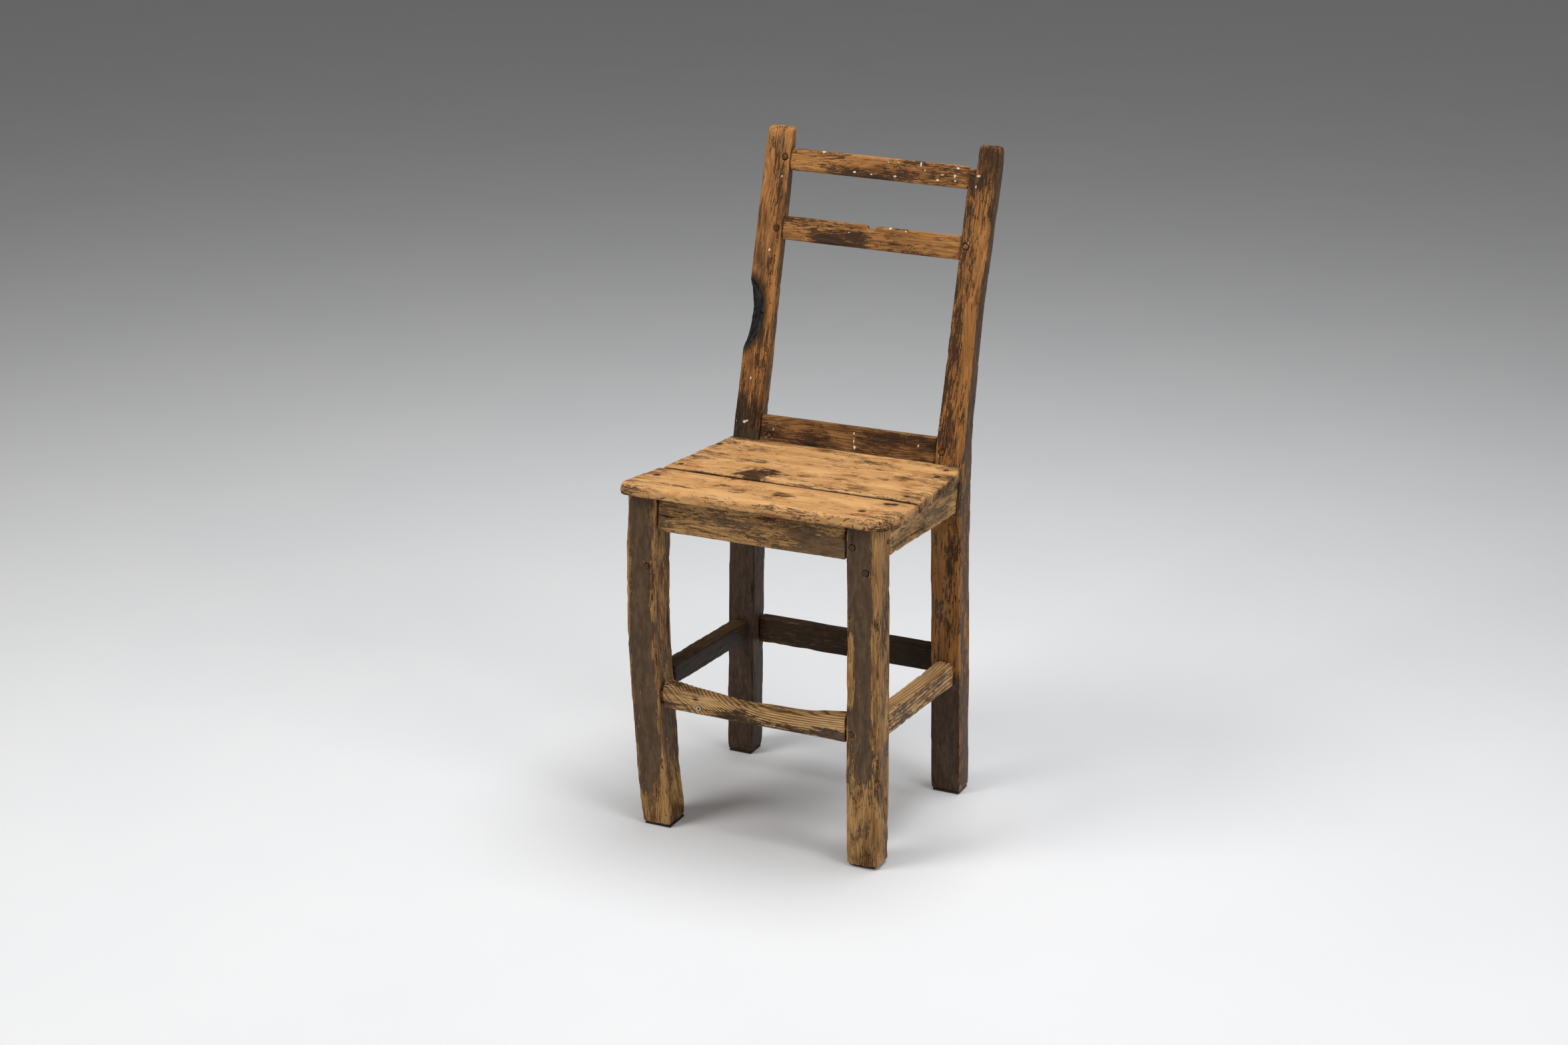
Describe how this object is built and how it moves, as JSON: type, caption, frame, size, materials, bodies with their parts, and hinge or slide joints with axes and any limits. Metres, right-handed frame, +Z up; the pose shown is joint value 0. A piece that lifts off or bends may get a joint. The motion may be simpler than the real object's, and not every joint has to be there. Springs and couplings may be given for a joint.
{
  "type": "chair",
  "caption": "Hand-made pine side chair with raked back posts, two back slats, a two-board seat and pegged rails; worn, charred and with peeling brown paint.",
  "frame": {"origin": "middle of the chair's outline on the floor, under the foot pads", "axes": "+Z up, the front of the chair faces -Y, +X is to the right as seen from the front"},
  "size_m": [0.369, 0.4132, 0.8485],
  "materials": {
    "painted_pine": "remnants of dark brown paint on worn pine",
    "stained_pine": "worn brown stain with pale paint flecks",
    "bare_pine": "bare worn pine",
    "peg_wood": "end grain of old pegs",
    "old_iron": "dark rusty iron",
    "zinc_screw": "dulled zinc",
    "black_pads": "matt black"
  },
  "bodies": {
    "root": {"front_left_leg": "painted_pine", "front_right_leg": "painted_pine", "back_left_post": "painted_pine", "back_right_post": "painted_pine", "front_apron": "painted_pine", "left_apron": "painted_pine", "right_apron": "painted_pine", "lower_back_rail": "stained_pine", "middle_back_slat": "stained_pine", "top_back_slat": "stained_pine", "front_stretcher": "bare_pine", "left_stretcher": "painted_pine", "right_stretcher": "bare_pine", "rear_stretcher": "painted_pine", "seat_back_board": "bare_pine", "seat_front_board": "bare_pine", "back_pegs": "peg_wood", "front_leg_pegs": "peg_wood", "side_pegs": "peg_wood", "seat_nails": "old_iron", "bent_nail": "old_iron", "foot_nail": "old_iron", "stretcher_screw": "zinc_screw", "foot_pads": "black_pads"}
  },
  "joints": []
}
